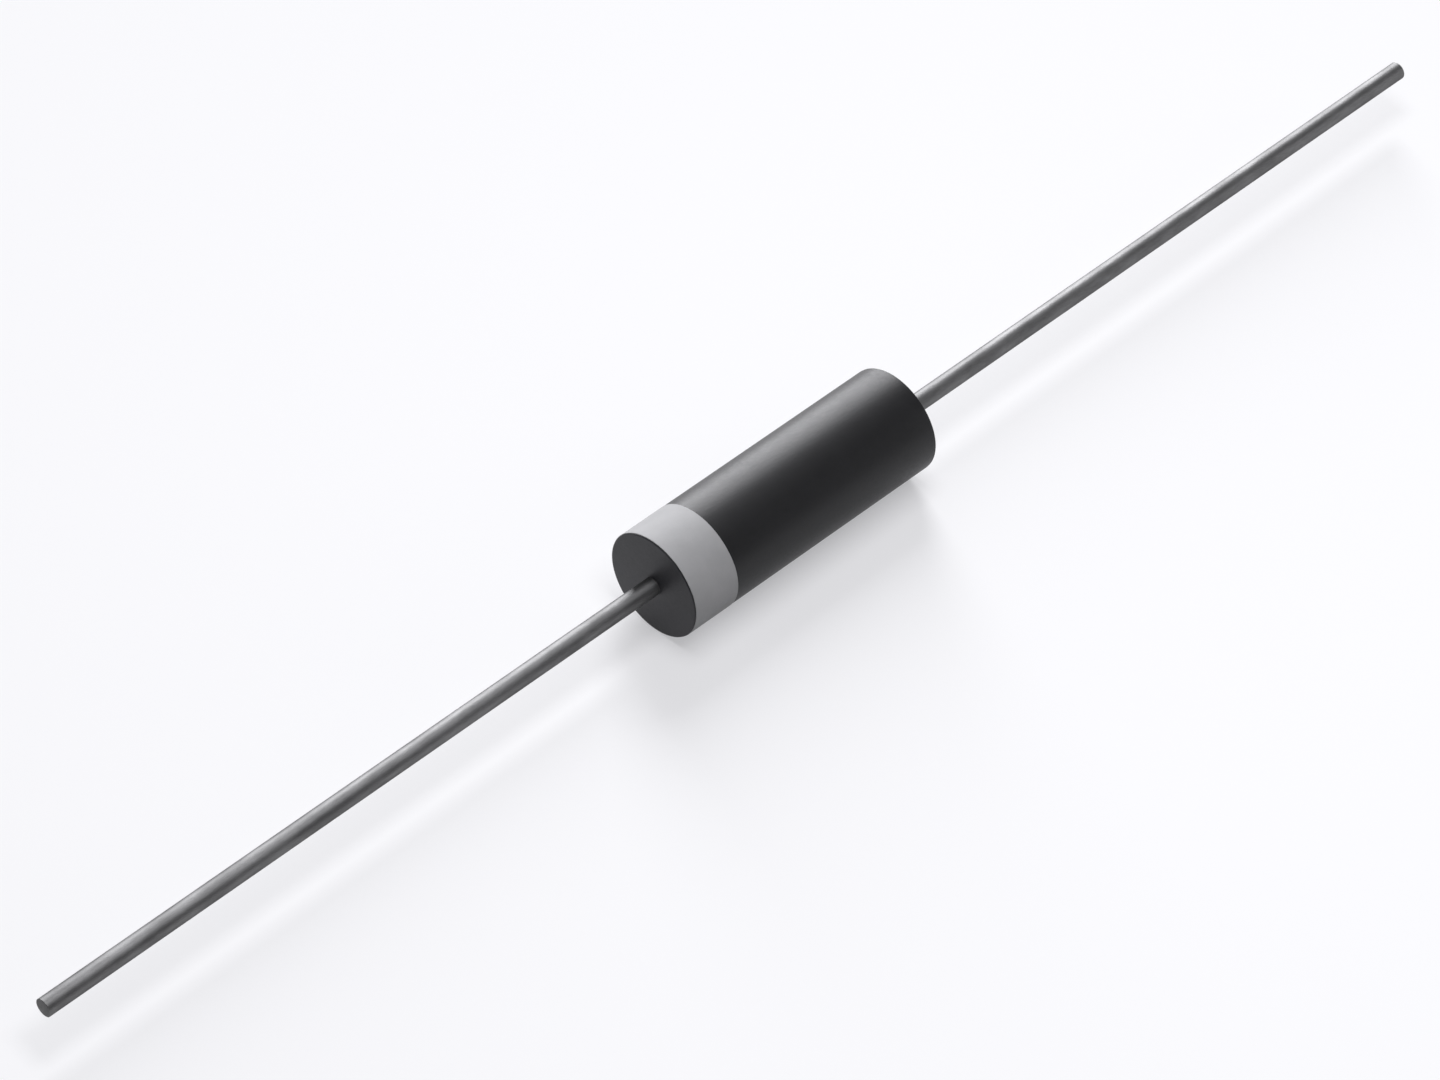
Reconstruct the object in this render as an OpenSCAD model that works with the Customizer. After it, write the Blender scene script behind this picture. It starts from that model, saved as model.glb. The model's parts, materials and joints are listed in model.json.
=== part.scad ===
// Axial rectifier diode: a moulded body on two straight wire leads, with a
// printed cathode band and a stack of chips soldered between two nail heads.
// Millimetres. The leads lie along X and +Z is up. The origin is the middle of
// the body, on the axis of the leads. The banded cathode end points to -X.

/* [Moulded body] */
// Diameter of the moulded body
body_d = 4.0; // [3.6:0.1:6]
// Length of the moulded body
body_len = 11.64; // [9.5:0.02:16]
// Radius round the rim of each end face
rim_r = 0.04; // [0.02:0.01:0.3]

/* [Cathode band] */
// Length of the printed band, from the rim of the cathode end
band_len = 2.0; // [1:0.02:3]
// Thickness of the ink
band_t = 0.02; // [0.015:0.005:0.05]

/* [Leads] */
// Diameter of the tinned wire
lead_d = 0.68; // [0.5:0.02:0.84]
// Free length of each lead outside the body
lead_free = 26.65; // [15:0.05:40]
// Bevel left round the sheared tip
tip_bevel = 0.03; // [0.01:0.01:0.08]
// Thickening of the shank, on its radius, from the end face to the nail head
neck_swell = 0.03; // [0.01:0.01:0.06]
// Radius of the fillet behind the nail head
neck_fillet = 0.3; // [0.1:0.05:0.3]
// Diameter of the nail head
head_d = 2.0; // [1.9:0.05:2.4]
// Thickness of the nail head
head_t = 0.42; // [0.3:0.02:0.6]
// Radius round the rim of the nail head
head_rim_r = 0.12; // [0.05:0.01:0.14]

/* [Chip stack] */
// Side of each square chip
chip_side = 1.24; // [0.9:0.02:1.26]
// Thickness of each chip
chip_t = 0.30; // [0.2:0.01:0.36]
// Corner cut left on each chip by etching
chip_corner = 0.12; // [0.05:0.01:0.2]
// Thickness of each solder joint
solder_t = 0.06; // [0.03:0.01:0.1]
// Distance that the solder between chips stands back from their edge
solder_inset = 0.03; // [0.02:0.01:0.06]

/* [Junction coating] */
// Thickness of the coating over the rims of the nail heads
coat_over_rim = 0.1; // [0.06:0.01:0.2]
// Rise of the bead at the middle of the stack
coat_rise = 0.14; // [0.05:0.01:0.2]

/* [Show] */
// Piece to draw

/* [Hidden] */

$fn = 96;
// a shallow arc of a large circle takes more steps
shallow_arc_fn = 1440;

body_r = body_d / 2;
body_end = body_len / 2;
lead_r = lead_d / 2;
neck_r = lead_r + neck_swell;
head_r = head_d / 2;

chip_count = 8;
pitch = chip_t + solder_t;
stack_end = (chip_count * pitch + solder_t) / 2;
head_back = stack_end + head_t;
lead_tip = body_end + lead_free;
// outer solder joints spread to this radius under the nail heads
end_solder_r = head_r - head_rim_r;

// the bead is an arc through its middle and its two ends, short of the heads' back rims
coat_end = head_back - head_rim_r;
coat_end_r = head_r + coat_over_rim;
coat_arc_r = (coat_end * coat_end + coat_rise * coat_rise) / (2 * coat_rise);
coat_arc_centre = coat_end_r + coat_rise - coat_arc_r;

color_epoxy = [0.07, 0.07, 0.08];
color_ink = [0.72, 0.72, 0.71];
color_tin = [0.70, 0.71, 0.72];
color_silicon = [0.30, 0.31, 0.36];
color_solder = [0.56, 0.57, 0.58];
color_silicone = [0.86, 0.84, 0.78];

// ---- profiles: x is the radius, y runs along the axis of the leads ----

// turns a profile round the X axis
module turned() {
    rotate([0, 90, 0])
        rotate_extrude()
            children();
}

// half of the body, from its middle to one end face
module body_half_profile() {
    square([body_r, body_end - rim_r]);
    square([body_r - rim_r, body_end]);
    translate([body_r - rim_r, body_end - rim_r])
        intersection() {
            circle(r = rim_r);
            square([rim_r, rim_r]);
        }
}

// a straight band of the body's skin, thickened outwards by the ink
module band_profile() {
    translate([body_r, body_end - rim_r - band_len])
        square([band_t, band_len]);
}

// the disc of the nail head, with its rim rounded
module head_profile() {
    translate([0, stack_end]) {
        square([head_r - head_rim_r, head_t]);
        translate([0, head_rim_r])
            square([head_r, head_t - 2 * head_rim_r]);
        for (side = [head_rim_r, head_t - head_rim_r])
            translate([head_r - head_rim_r, side])
                circle(r = head_rim_r);
    }
}

// the fillet that carries the shank into the back of the head
module neck_profile() {
    translate([0, head_back])
        difference() {
            square([neck_r + neck_fillet, neck_fillet]);
            translate([neck_r + neck_fillet, neck_fillet])
                circle(r = neck_fillet);
        }
}

// the shank tapers to the size of the wire at the end face of the body
module shank_profile() {
    polygon([
        [0, head_back],
        [neck_r, head_back],
        [neck_r, head_back + neck_fillet],
        [lead_r, body_end],
        [lead_r, lead_tip - tip_bevel],
        [lead_r - tip_bevel, lead_tip],
        [0, lead_tip]
    ]);
}

module lead_profile() {
    head_profile();
    neck_profile();
    shank_profile();
}

// half of the bead, with the heads and the chips still in it
module coat_half_profile() {
    intersection() {
        square([coat_end_r + coat_rise, coat_end]);
        translate([coat_arc_centre, 0])
            circle(r = coat_arc_r, $fn = shallow_arc_fn);
    }
}

module both_ways() {
    children();
    mirror([0, 1])
        children();
}

// ---- the stack of chips, counted from the cathode end ----

module chip_plan(side, corner) {
    half = side / 2;
    cut = half - corner;
    polygon([
        [half, -cut], [half, cut], [cut, half], [-cut, half],
        [-half, cut], [-half, -cut], [-cut, -half], [cut, -half]
    ]);
}

// a slab of the stack from x = start, t thick
module slab(start, t) {
    translate([start, 0, 0])
        rotate([0, 90, 0])
            linear_extrude(height = t)
                children();
}

module chip(n) {
    slab(-stack_end + solder_t + (n - 1) * pitch, chip_t)
        chip_plan(chip_side, chip_corner);
}

module inner_solder(n) {
    slab(-stack_end + (n - 1) * pitch, solder_t)
        chip_plan(chip_side - 2 * solder_inset, chip_corner);
}

module end_solder(n) {
    translate([-stack_end + (n - 1) * pitch, 0, 0])
        rotate([0, 90, 0])
            cylinder(r = end_solder_r, h = solder_t);
}

// the chips and their solder as one block, for the hollow they fill
module whole_stack() {
    union() {
        for (n = [1 : chip_count])
            chip(n);
        for (n = [2 : chip_count])
            inner_solder(n);
        end_solder(1);
        end_solder(chip_count + 1);
    }
}

// ---- pieces ----

module epoxy_body() {
    color(color_epoxy)
        turned()
            both_ways()
                difference() {
                    body_half_profile();
                    coat_half_profile();
                    lead_profile();
                }
}

module cathode_band() {
    color(color_ink)
        mirror([1, 0, 0])
            turned()
                band_profile();
}

module anode_lead() {
    color(color_tin)
        turned()
            lead_profile();
}

module cathode_lead() {
    color(color_tin)
        mirror([1, 0, 0])
            turned()
                lead_profile();
}

module junction_coating() {
    color(color_silicone)
        difference() {
            turned()
                both_ways()
                    difference() {
                        coat_half_profile();
                        lead_profile();
                    }
            whole_stack();
        }
}

module silicon_chip_1() { color(color_silicon) chip(1); }
module silicon_chip_2() { color(color_silicon) chip(2); }
module silicon_chip_3() { color(color_silicon) chip(3); }
module silicon_chip_4() { color(color_silicon) chip(4); }
module silicon_chip_5() { color(color_silicon) chip(5); }
module silicon_chip_6() { color(color_silicon) chip(6); }
module silicon_chip_7() { color(color_silicon) chip(7); }
module silicon_chip_8() { color(color_silicon) chip(8); }

module solder_joint_1() { color(color_solder) end_solder(1); }
module solder_joint_2() { color(color_solder) inner_solder(2); }
module solder_joint_3() { color(color_solder) inner_solder(3); }
module solder_joint_4() { color(color_solder) inner_solder(4); }
module solder_joint_5() { color(color_solder) inner_solder(5); }
module solder_joint_6() { color(color_solder) inner_solder(6); }
module solder_joint_7() { color(color_solder) inner_solder(7); }
module solder_joint_8() { color(color_solder) inner_solder(8); }
module solder_joint_9() { color(color_solder) end_solder(9); }

// ---- drawing ----

epoxy_body();
cathode_band();
cathode_lead();
anode_lead();
junction_coating();
silicon_chip_1();
silicon_chip_2();
silicon_chip_3();
silicon_chip_4();
silicon_chip_5();
silicon_chip_6();
silicon_chip_7();
silicon_chip_8();
solder_joint_1();
solder_joint_2();
solder_joint_3();
solder_joint_4();
solder_joint_5();
solder_joint_6();
solder_joint_7();
solder_joint_8();
solder_joint_9();
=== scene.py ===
"""Axial rectifier diode: looks.

Lengths are metres in the part's own frame, unless a name ends in _mm. The leads lie along X, the
banded cathode end points to -X, and +Z is up.
"""

import json
import math

import bpy
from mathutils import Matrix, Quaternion, Vector


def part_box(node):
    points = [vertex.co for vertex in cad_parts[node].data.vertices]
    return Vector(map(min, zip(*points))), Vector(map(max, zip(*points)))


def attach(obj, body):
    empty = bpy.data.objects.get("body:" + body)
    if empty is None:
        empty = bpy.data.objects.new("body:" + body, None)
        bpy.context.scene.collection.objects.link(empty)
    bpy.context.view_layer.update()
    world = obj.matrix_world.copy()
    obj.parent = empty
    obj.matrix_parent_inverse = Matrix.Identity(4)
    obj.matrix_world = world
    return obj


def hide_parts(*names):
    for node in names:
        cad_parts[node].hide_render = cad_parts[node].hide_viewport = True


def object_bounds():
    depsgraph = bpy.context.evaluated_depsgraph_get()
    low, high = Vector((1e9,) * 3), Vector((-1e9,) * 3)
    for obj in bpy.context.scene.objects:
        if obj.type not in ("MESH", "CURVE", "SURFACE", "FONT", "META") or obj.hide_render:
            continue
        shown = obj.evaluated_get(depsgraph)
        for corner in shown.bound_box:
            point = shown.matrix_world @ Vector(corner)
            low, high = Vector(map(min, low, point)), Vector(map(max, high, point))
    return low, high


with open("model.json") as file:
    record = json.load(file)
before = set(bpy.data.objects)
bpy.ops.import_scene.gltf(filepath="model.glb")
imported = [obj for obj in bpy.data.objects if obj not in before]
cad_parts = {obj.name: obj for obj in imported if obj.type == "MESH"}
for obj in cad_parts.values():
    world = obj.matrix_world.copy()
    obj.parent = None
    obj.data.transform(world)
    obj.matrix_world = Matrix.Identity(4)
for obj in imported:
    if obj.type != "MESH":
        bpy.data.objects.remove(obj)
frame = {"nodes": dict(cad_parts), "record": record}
size_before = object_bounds()

MM = 0.001
TINY = 1e-7

# ---- sizes, all read off the CAD nodes ----


def widest(node, beyond=-1.0):
    """The largest distance from the X axis of a node's points past x = beyond."""
    points = (v.co for v in frame["nodes"][node].data.vertices)
    return max(math.hypot(p.y, p.z) for p in points if p.x > beyond)


body_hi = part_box("epoxy_body")[1]
band_lo, band_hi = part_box("cathode_band")
cathode_lo, cathode_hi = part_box("cathode_lead")
anode_lo, anode_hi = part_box("anode_lead")

BODY_END = body_hi.x
BODY_R = widest("epoxy_body")
RIM_R = BODY_R - widest("epoxy_body", BODY_END - TINY)
BAND_R = band_hi.z
LEAD_R = widest("anode_lead", BODY_END + TINY)
TIP_BEVEL = LEAD_R - widest("anode_lead", anode_hi.x - TINY)
FLOOR_Z = size_before[0].z

# ---- helpers for every kind of node tree ----


def feed(tree, socket, value):
    """Gives a socket a link or a plain value."""
    if isinstance(value, bpy.types.NodeSocket):
        tree.links.new(value, socket)
    else:
        socket.default_value = value


def calc(tree, operation, a, b=0.0):
    """A Math node's result."""
    node = tree.nodes.new("ShaderNodeMath")
    node.operation = operation
    feed(tree, node.inputs[0], a)
    feed(tree, node.inputs[1], b)
    return node.outputs[0]


def map_range(tree, value, from_lo, from_hi, to_lo, to_hi, smooth=False):
    """A Map Range node's result: the value carried from one range to another and held inside it."""
    node = tree.nodes.new("ShaderNodeMapRange")
    if smooth:
        node.interpolation_type = "SMOOTHSTEP"
    names = ("Value", "From Min", "From Max", "To Min", "To Max")
    for name, given in zip(names, (value, from_lo, from_hi, to_lo, to_hi)):
        feed(tree, node.inputs[name], given)
    return node.outputs["Result"]


# ---- materials ----


def new_material(name):
    mat = bpy.data.materials.new(name)
    mat.use_nodes = True
    tree = mat.node_tree
    tree.nodes.clear()
    out = tree.nodes.new("ShaderNodeOutputMaterial")
    bsdf = tree.nodes.new("ShaderNodeBsdfPrincipled")
    feed(tree, out.inputs["Surface"], bsdf.outputs["BSDF"])
    return mat, tree, bsdf.inputs


def shade(value, tint=(1.0, 1.0, 1.0)):
    """A grey times a tint, as a colour."""
    return (value * tint[0], value * tint[1], value * tint[2], 1.0)


def place(tree, stretch=(1, 1, 1)):
    """Object coordinates in millimetres, times stretch along each axis."""
    coord = tree.nodes.new("ShaderNodeTexCoord")
    mapping = tree.nodes.new("ShaderNodeMapping")
    feed(tree, mapping.inputs["Scale"], [s / MM for s in stretch])
    feed(tree, mapping.inputs["Vector"], coord.outputs["Object"])
    return mapping.outputs["Vector"]


def noise(tree, vector, scale, detail, rough):
    tex = tree.nodes.new("ShaderNodeTexNoise")
    feed(tree, tex.inputs["Scale"], scale)
    feed(tree, tex.inputs["Detail"], detail)
    feed(tree, tex.inputs["Roughness"], rough)
    feed(tree, tex.inputs["Vector"], vector)
    return tex.outputs["Fac"]


def ramp(tree, fac, *stops):
    """A two-stop Color Ramp; each stop is (position, colour)."""
    node = tree.nodes.new("ShaderNodeValToRGB")
    for element, (at, colour) in zip(node.color_ramp.elements, stops):
        element.position = at
        element.color = colour
    feed(tree, node.inputs["Fac"], fac)
    return node.outputs["Color"]


def bump(tree, height, distance_mm, strength):
    node = tree.nodes.new("ShaderNodeBump")
    feed(tree, node.inputs["Distance"], distance_mm * MM)
    feed(tree, node.inputs["Strength"], strength)
    feed(tree, node.inputs["Height"], height)
    return node.outputs["Normal"]


EPOXY_TINT = (1.0, 1.0, 1.15)
EPOXY_IOR = 1.40
END_PAINTED_LIGHT = 4.0  # how many times lighter than the barrel the end faces' colour is painted: painted light for their brighter reflection


def epoxy_material():
    """Black moulding compound: satin skin, fine grain, faint clouds of filler, and end faces painted
    lighter to stand in for their brighter reflection.
    """
    mat, tree, skin = new_material("moulded_epoxy")
    vec = place(tree)
    clouds = noise(tree, vec, scale=0.9, detail=4.0, rough=0.6)
    grain = noise(tree, vec, scale=9.0, detail=6.0, rough=0.65)

    part = tree.nodes.new("ShaderNodeSeparateXYZ")
    feed(tree, part.inputs[0], vec)
    out_along = calc(tree, "ABSOLUTE", part.outputs["X"])
    # painted light: the end faces' colour is lifted to up to four times the barrel's, standing in for
    # the brighter reflection they show
    painted_light_on_end = map_range(tree, out_along, (BODY_END - RIM_R) / MM, BODY_END / MM, 0.0, 1.0, smooth=True)
    colour = ramp(tree, clouds, (0.3, shade(0.0074, EPOXY_TINT)), (0.7, shade(0.0096, EPOXY_TINT)))
    painted_light_lift = tree.nodes.new("ShaderNodeVectorMath")
    painted_light_lift.operation = "SCALE"
    feed(tree, painted_light_lift.inputs[0], colour)
    feed(tree, painted_light_lift.inputs["Scale"], map_range(tree, painted_light_on_end, 0, 1, 1.0, END_PAINTED_LIGHT))
    feed(tree, skin["Base Color"], painted_light_lift.outputs[0])

    satin = map_range(tree, clouds, 0.3, 0.7, 0.415, 0.445)
    rubbed = map_range(tree, grain, 0.3, 0.7, 0.0, 0.07)
    feed(tree, skin["Roughness"], calc(tree, "ADD", satin, rubbed))
    feed(tree, skin["IOR"], EPOXY_IOR)
    feed(tree, skin["Normal"], bump(tree, grain, distance_mm=0.010, strength=0.45))
    return mat


INK_TINT = (1.0, 1.0, 1.012)
INK_IOR = 1.5


def ink_material():
    """Light grey marking ink, printed on the skin of the body."""
    mat, tree, skin = new_material("band_ink")
    vec = place(tree)
    clouds = noise(tree, vec, scale=1.3, detail=5.0, rough=0.6)
    grain = noise(tree, vec, scale=11.0, detail=5.0, rough=0.6)
    colour = ramp(tree, clouds, (0.3, shade(0.368, INK_TINT)), (0.7, shade(0.404, INK_TINT)))
    feed(tree, skin["Base Color"], colour)
    feed(tree, skin["Roughness"], map_range(tree, grain, 0, 1, 0.67, 0.77))
    feed(tree, skin["IOR"], INK_IOR)
    feed(tree, skin["Normal"], bump(tree, grain, distance_mm=0.004, strength=0.35))
    return mat


TIN_EDGE = 0.35  # holds the metal's grazing reflection down, so that the sides stay dark
DRAWN = (0.04, 1, 1)  # streaks along the wire
CLOUDED = (0.35, 1, 1)


def tin_material():
    """Matte tinned wire: grey metal with fine lines along the draw and a cloudy skin."""
    mat, tree, skin = new_material("tinned_copper")
    lines = noise(tree, place(tree, DRAWN), scale=14.0, detail=5.0, rough=0.6)
    clouds = noise(tree, place(tree, CLOUDED), scale=2.2, detail=5.0, rough=0.65)
    feed(tree, skin["Base Color"], ramp(tree, clouds, (0.35, shade(0.160)), (0.65, shade(0.226))))
    feed(tree, skin["Metallic"], 1.0)
    feed(tree, skin["Specular Tint"], shade(TIN_EDGE))
    feed(tree, skin["Roughness"], map_range(tree, lines, 0, 1, 0.49, 0.57))
    feed(tree, skin["Normal"], bump(tree, lines, distance_mm=0.007, strength=0.5))
    return mat


def inner_material(name, value, metallic, roughness, tint=(1, 1, 1)):
    """For the pieces sealed inside the body."""
    mat, tree, skin = new_material(name)
    fine = noise(tree, place(tree), scale=9.0, detail=4.0, rough=0.6)
    colour = ramp(tree, fine, (0.35, shade(value * 0.9, tint)), (0.65, shade(value * 1.1, tint)))
    feed(tree, skin["Base Color"], colour)
    feed(tree, skin["Metallic"], metallic)
    feed(tree, skin["Roughness"], map_range(tree, fine, 0, 1, roughness - 0.05, roughness + 0.05))
    feed(tree, skin["Normal"], bump(tree, fine, distance_mm=0.004, strength=0.3))
    return mat


MATERIALS = {
    "moulded_epoxy": epoxy_material(),
    "band_ink": ink_material(),
    "tinned_copper": tin_material(),
    "silicone": inner_material("silicone", 0.7, 0.0, 0.45, (1.0, 0.98, 0.9)),
    "silicon": inner_material("silicon", 0.25, 0.6, 0.3, (0.95, 0.97, 1.1)),
    "solder": inner_material("solder", 0.5, 1.0, 0.35),
}

# ---- Geometry Nodes: turned pieces and drawn wire ----


def new_shape_tree(name, inputs):
    """A tree with a geometry input and output and one named input for each (name, kind)."""
    tree = bpy.data.node_groups.new(name, "GeometryNodeTree")
    tree.interface.new_socket("Geometry", in_out="INPUT", socket_type="NodeSocketGeometry")
    for label, kind in inputs:
        tree.interface.new_socket(label, in_out="INPUT", socket_type="NodeSocket" + kind)
    tree.interface.new_socket("Geometry", in_out="OUTPUT", socket_type="NodeSocketGeometry")
    return tree, tree.nodes.new("NodeGroupInput").outputs


def wrapped_grid(tree, rows, sides):
    """A grid of rows by sides, with each point's row number and its angle round X."""
    grid = tree.nodes.new("GeometryNodeMeshGrid")
    across = calc(tree, "ADD", sides, 1)
    feed(tree, grid.inputs["Vertices X"], rows)
    feed(tree, grid.inputs["Vertices Y"], across)
    index = tree.nodes.new("GeometryNodeInputIndex").outputs[0]
    row = calc(tree, "FLOOR", calc(tree, "DIVIDE", calc(tree, "ADD", index, 0.5), across))
    column = calc(tree, "SUBTRACT", index, calc(tree, "MULTIPLY", row, across))
    angle = calc(tree, "MULTIPLY", calc(tree, "DIVIDE", column, sides), -2 * math.pi)
    return grid.outputs["Mesh"], row, angle


def close_up(tree, mesh, x, radius, angle, material):
    """Puts the grid's points in place, joins the seam and the poles and gives the finish."""
    spot = tree.nodes.new("ShaderNodeCombineXYZ")
    feed(tree, spot.inputs["X"], x)
    feed(tree, spot.inputs["Y"], calc(tree, "MULTIPLY", radius, calc(tree, "COSINE", angle)))
    feed(tree, spot.inputs["Z"], calc(tree, "MULTIPLY", radius, calc(tree, "SINE", angle)))
    put = tree.nodes.new("GeometryNodeSetPosition")
    feed(tree, put.inputs["Geometry"], mesh)
    feed(tree, put.inputs["Position"], spot.outputs[0])
    merge = tree.nodes.new("GeometryNodeMergeByDistance")
    feed(tree, merge.inputs["Geometry"], put.outputs[0])
    feed(tree, merge.inputs["Distance"], TINY)
    real = tree.nodes.new("GeometryNodeRealizeInstances")
    feed(tree, real.inputs["Geometry"], merge.outputs[0])
    finish = tree.nodes.new("GeometryNodeSetMaterial")
    feed(tree, finish.inputs["Geometry"], real.outputs[0])
    feed(tree, finish.inputs["Material"], material)
    feed(tree, tree.nodes.new("NodeGroupOutput").inputs[0], finish.outputs[0])


WANDER_TWIST = 40.0  # how fast the wander changes along X
WANDER_SCALE = 3.0
WANDER_DETAIL = 3.0


def turned_tree():
    """Turns a line of profile points, (x, radius), round X.

    A parting line is a low ridge on two opposite sides. Wander shifts the points along X by a slow
    noise round the piece, as the edge of a print does.
    """
    tree, given = new_shape_tree("turned_piece", [
        ("Sides", "Int"),
        ("Parting line height", "Float"),
        ("Parting line angle", "Float"),
        ("Parting line half angle", "Float"),
        ("Wander", "Float"),
        ("Seed", "Float"),
        ("Material", "Material"),
    ])
    count = tree.nodes.new("GeometryNodeAttributeDomainSize")
    feed(tree, count.inputs["Geometry"], given["Geometry"])
    mesh, row, angle = wrapped_grid(tree, count.outputs["Point Count"], given["Sides"])
    sample = tree.nodes.new("GeometryNodeSampleIndex")
    sample.data_type = "FLOAT_VECTOR"
    feed(tree, sample.inputs["Geometry"], given["Geometry"])
    feed(tree, sample.inputs["Value"], tree.nodes.new("GeometryNodeInputPosition").outputs[0])
    feed(tree, sample.inputs["Index"], row)
    part = tree.nodes.new("ShaderNodeSeparateXYZ")
    feed(tree, part.inputs[0], sample.outputs[0])
    profile_x, profile_r = part.outputs["X"], part.outputs["Y"]

    turn = calc(tree, "SUBTRACT", angle, given["Parting line angle"])
    near = calc(tree, "ABSOLUTE", calc(tree, "COSINE", turn))
    edge = calc(tree, "COSINE", given["Parting line half angle"])
    ridge = map_range(tree, near, edge, 1.0, 0.0, given["Parting line height"], smooth=True)
    share = calc(tree, "DIVIDE", profile_r, BODY_R)
    radius = calc(tree, "ADD", profile_r, calc(tree, "MULTIPLY", ridge, share))

    ring = tree.nodes.new("ShaderNodeCombineXYZ")
    feed(tree, ring.inputs["X"], calc(tree, "COSINE", angle))
    feed(tree, ring.inputs["Y"], calc(tree, "SINE", angle))
    feed(tree, ring.inputs["Z"], calc(tree, "MULTIPLY", profile_x, WANDER_TWIST))
    drift = tree.nodes.new("ShaderNodeTexNoise")
    drift.noise_dimensions = "4D"
    feed(tree, drift.inputs["Scale"], WANDER_SCALE)
    feed(tree, drift.inputs["Detail"], WANDER_DETAIL)
    feed(tree, drift.inputs["Vector"], ring.outputs[0])
    feed(tree, drift.inputs["W"], given["Seed"])
    off_middle = calc(tree, "SUBTRACT", drift.outputs[0], 0.5)
    shift = calc(tree, "MULTIPLY", off_middle, given["Wander"])
    x = calc(tree, "ADD", profile_x, shift)
    close_up(tree, mesh, x, radius, angle, given["Material"])
    return tree


def wire_tree():
    """A drawn wire along X from a closed inner end to a tip with a small bevel.

    The rows are the inner pole, the rings, the end of the bevel and the tip's pole.
    """
    tree, given = new_shape_tree("drawn_wire", [
        ("Wire radius", "Float"),
        ("Inner end", "Float"),
        ("Tip", "Float"),
        ("Bevel", "Float"),
        ("Rings", "Int"),
        ("Sides", "Int"),
        ("Material", "Material"),
    ])
    rings, start, wire_r, bevel = (given[n] for n in ("Rings", "Inner end", "Wire radius", "Bevel"))
    mesh, row, angle = wrapped_grid(tree, calc(tree, "ADD", rings, 3), given["Sides"])

    def from_0_to_1(value):
        return map_range(tree, value, 0.0, 1.0, 0.0, 1.0)

    started = from_0_to_1(row)
    past_pole = calc(tree, "SUBTRACT", row, 1)
    along = from_0_to_1(calc(tree, "DIVIDE", past_pole, calc(tree, "SUBTRACT", rings, 1)))
    bevelled = from_0_to_1(calc(tree, "SUBTRACT", row, rings))
    shut = from_0_to_1(calc(tree, "SUBTRACT", row, calc(tree, "ADD", rings, 1)))

    span = calc(tree, "SUBTRACT", given["Tip"], start)
    back = calc(tree, "MULTIPLY", calc(tree, "SIGN", span), bevel)
    straight = calc(tree, "MULTIPLY", calc(tree, "SUBTRACT", span, back), along)
    x = calc(tree, "ADD", calc(tree, "ADD", start, straight), calc(tree, "MULTIPLY", back, bevelled))

    less = calc(tree, "MULTIPLY", bevel, bevelled)
    face = calc(tree, "MULTIPLY", calc(tree, "SUBTRACT", wire_r, bevel), shut)
    full = calc(tree, "MULTIPLY", wire_r, started)
    radius = calc(tree, "SUBTRACT", calc(tree, "SUBTRACT", full, less), face)
    close_up(tree, mesh, x, radius, angle, given["Material"])
    return tree


SHARP_ANGLE = math.radians(35.0)  # edges that turn by more are shaded as sharp


def made_by(tree, name, node, slot_name, inputs, profile=(), flip=False):
    """Runs a tree on a line of profile points and makes a plain mesh that stands for a node."""
    line = bpy.data.meshes.new(name + "_profile")
    points = [(x, r, 0.0) for x, r in profile]
    line.from_pydata(points, [(i, i + 1) for i in range(len(points) - 1)], [])
    work = bpy.data.objects.new(name + "_work", line)
    bpy.context.scene.collection.objects.link(work)
    modifier = work.modifiers.new("shape", "NODES")
    modifier.node_group = tree
    inputs = dict(inputs, Material=MATERIALS[slot_name])
    for item in tree.interface.items_tree:
        if item.in_out == "INPUT" and item.name in inputs:
            modifier[item.identifier] = inputs[item.name]
    done = work.evaluated_get(bpy.context.evaluated_depsgraph_get())
    mesh = bpy.data.meshes.new_from_object(done)
    bpy.data.objects.remove(work)
    bpy.data.meshes.remove(line)
    mesh.name = name
    mesh.materials.clear()  # the grid node brings an empty slot of its own
    mesh.materials.append(MATERIALS[slot_name])
    if flip:
        mesh.flip_normals()
    mesh.shade_smooth()
    mesh.set_sharp_from_angle(angle=SHARP_ANGLE)
    obj = bpy.data.objects.new(name, mesh)
    bpy.context.scene.collection.objects.link(obj)
    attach(obj, "root")
    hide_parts(node)


RIM_STEPS = 10


def arc(cx, cr, radius, start_deg, end_deg):
    """Profile points on an arc; angles from the +x direction towards +r."""
    turns = [start_deg + (end_deg - start_deg) * i / RIM_STEPS for i in range(RIM_STEPS + 1)]
    return [(cx + radius * math.cos(t), cr + radius * math.sin(t)) for t in map(math.radians, turns)]


TURNED = turned_tree()
WIRE = wire_tree()

BODY_SIDES = 384
BARREL_RINGS = (-0.8, -0.6, -0.4, -0.2, 0, 0.2, 0.4, 0.6, 0.8)  # shares of the half length
PARTING_ANGLE = math.atan2(0.590, 0.807)
PARTING_HALF_ANGLE = math.radians(2.2)
PARTING_HEIGHT = 0.007 * MM

body_profile = (
    [(-BODY_END, 0.0), (-BODY_END, LEAD_R), (-BODY_END, BODY_R - RIM_R)]
    + arc(-BODY_END + RIM_R, BODY_R - RIM_R, RIM_R, 180, 90)[1:]
    + [(share * BODY_END, BODY_R) for share in BARREL_RINGS]
    + arc(BODY_END - RIM_R, BODY_R - RIM_R, RIM_R, 90, 0)
    + [(BODY_END, LEAD_R), (BODY_END, 0.0)]
)
made_by(TURNED, "epoxy_body_skin", "epoxy_body", "moulded_epoxy", {
    "Sides": BODY_SIDES,
    "Parting line height": PARTING_HEIGHT,
    "Parting line angle": PARTING_ANGLE,
    "Parting line half angle": PARTING_HALF_ANGLE,
    "Wander": 0.0,
    "Seed": 0.0,
}, body_profile)

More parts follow.
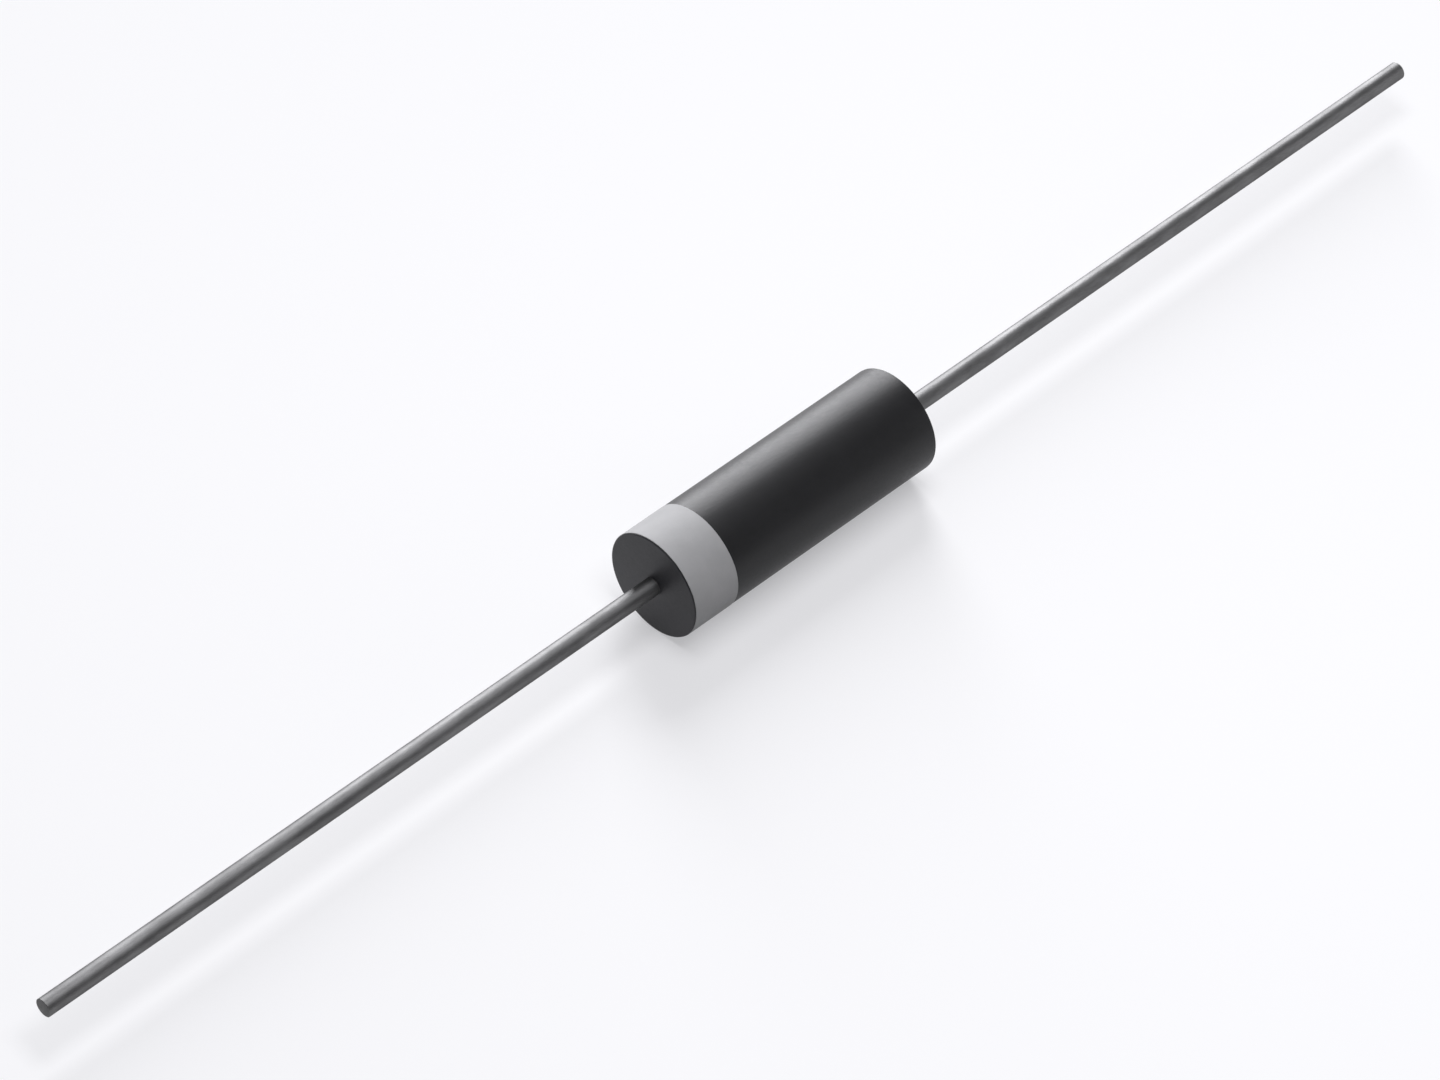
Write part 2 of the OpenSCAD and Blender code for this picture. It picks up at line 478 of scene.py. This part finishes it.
INK_UNDER = BODY_R - 0.01 * MM
INK_EDGE = 0.006 * MM
WANDER = 0.03 * MM
ink_lo = band_lo.x + WANDER / 2
ink_hi = band_hi.x - WANDER / 2
band_profile = [
    (ink_lo, INK_UNDER),
    (ink_lo, BAND_R - INK_EDGE),
    (ink_lo + INK_EDGE, BAND_R),
    ((ink_lo + ink_hi) / 2, BAND_R),
    (ink_hi - INK_EDGE, BAND_R),
    (ink_hi, BAND_R - INK_EDGE),
    (ink_hi, INK_UNDER),
    (ink_lo, INK_UNDER),
]
made_by(TURNED, "cathode_band_ink", "cathode_band", "band_ink", {
    "Sides": BODY_SIDES,
    "Parting line height": 0.0,
    "Parting line angle": 0.0,
    "Parting line half angle": PARTING_HALF_ANGLE,
    "Wander": WANDER,
    "Seed": 3.0,
}, band_profile)

WIRE_RINGS = 25
WIRE_SIDES = 96
SOFT_BEVEL = 0.4 * TIP_BEVEL
for name, node, inner_x, tip_x in (
    ("cathode_wire", "cathode_lead", cathode_hi.x, cathode_lo.x),
    ("anode_wire", "anode_lead", anode_lo.x, anode_hi.x),
):
    made_by(WIRE, name, node, "tinned_copper", {
        "Wire radius": LEAD_R,
        "Inner end": inner_x,
        "Tip": tip_x,
        "Bevel": SOFT_BEVEL,
        "Rings": WIRE_RINGS,
        "Sides": WIRE_SIDES,
    }, flip=tip_x < 0)

for row in frame["record"]["subparts"]:
    node = frame["nodes"][row["node"]]
    if not node.hide_render:
        node.data.materials.clear()
        node.data.materials.append(MATERIALS[row["material_slot"]])

# ---- floor ----

DAYLIGHT = (1.0, 1.0, 1.03, 1.0)
FLOOR_HALF = 2500 * MM
FLOOR_COLOUR = 0.50
FLOOR_ROUGHNESS = 0.9
FLOOR_TOP_UP = 0.42

corners = [(x * FLOOR_HALF, y * FLOOR_HALF, FLOOR_Z) for x, y in ((-1, -1), (1, -1), (1, 1), (-1, 1))]
mesh = bpy.data.meshes.new("floor")
mesh.from_pydata(corners, [], [(0, 1, 2, 3)])
floor = bpy.data.objects.new("floor", mesh)
bpy.context.scene.collection.objects.link(floor)

mat, tree, skin = new_material("floor")
feed(tree, skin["Base Color"], shade(FLOOR_COLOUR))
feed(tree, skin["Roughness"], FLOOR_ROUGHNESS)
feed(tree, skin["Specular IOR Level"], 0.0)
rays = tree.nodes.new("ShaderNodeLightPath").outputs
seen = calc(tree, "MAXIMUM", rays["Is Camera Ray"], rays["Is Glossy Ray"])
seen = calc(tree, "MAXIMUM", seen, rays["Is Transmission Ray"])
feed(tree, skin["Emission Color"], DAYLIGHT)
feed(tree, skin["Emission Strength"], calc(tree, "MULTIPLY", seen, FLOOR_TOP_UP))
mesh.materials.append(mat)

# ---- light ----

WORLD_LEVEL = 0.12
world = bpy.data.worlds.new("studio")
world.use_nodes = True
sky = world.node_tree.nodes["Background"].inputs
sky["Color"].default_value = DAYLIGHT
sky["Strength"].default_value = WORLD_LEVEL
bpy.context.scene.world = world


def softbox(name, azimuth_deg, elevation_deg, roll_deg, distance_mm, width_mm, height_mm, radiance):
    """An area lamp that faces the part and that the camera doesn't see.

    Azimuth is from +X towards +Y, and radiance is the brightness of its face.
    """
    lamp = bpy.data.lights.new(name, "AREA")
    lamp.shape = "RECTANGLE"
    lamp.size = width_mm * MM
    lamp.size_y = height_mm * MM
    lamp.energy = radiance * math.pi * lamp.size * lamp.size_y
    lamp.color = DAYLIGHT[:3]
    obj = bpy.data.objects.new(name, lamp)
    bpy.context.scene.collection.objects.link(obj)
    obj.visible_camera = False
    az, el = math.radians(azimuth_deg), math.radians(elevation_deg)
    way = Vector((math.cos(el) * math.cos(az), math.cos(el) * math.sin(az), math.sin(el)))
    obj.location = way * distance_mm * MM
    obj.rotation_mode = "QUATERNION"
    roll = Quaternion((0, 0, 1), math.radians(roll_deg))
    obj.rotation_quaternion = way.to_track_quat("Z", "Y") @ roll


softbox("key", azimuth_deg=51.4, elevation_deg=26.3, roll_deg=26.4,
        distance_mm=540, width_mm=181, height_mm=500, radiance=13.4)
softbox("top", azimuth_deg=-97.4, elevation_deg=78.5, roll_deg=178.0,
        distance_mm=120, width_mm=40, height_mm=96, radiance=6.45)
softbox("side", azimuth_deg=-36.0, elevation_deg=15.0, roll_deg=0.0,
        distance_mm=120, width_mm=40, height_mm=40, radiance=2.2)

# ---- camera ----

AZIMUTH, ELEVATION = math.radians(-44.87), math.radians(44.08)
AIM = Vector((-1.98, 0.68, -0.95)) * MM
DISTANCE = 202.0 * MM
LENS_MM = 148.6
SENSOR_MM = 36.0
CLIP_START = 1 * MM
CLIP_END = 5000 * MM

camera = bpy.data.cameras.new("camera")
camera.lens = LENS_MM
camera.sensor_width = SENSOR_MM
camera.clip_start = CLIP_START
camera.clip_end = CLIP_END
eye = bpy.data.objects.new("camera", camera)
bpy.context.scene.collection.objects.link(eye)
bpy.context.scene.camera = eye
back = Vector((
    math.sin(AZIMUTH) * math.cos(ELEVATION),
    -math.cos(AZIMUTH) * math.cos(ELEVATION),
    math.sin(ELEVATION),
))
eye.location = AIM + back * DISTANCE
eye.rotation_mode = "QUATERNION"
eye.rotation_quaternion = back.to_track_quat("Z", "Y")

bpy.context.scene.view_settings.view_transform = "Standard"
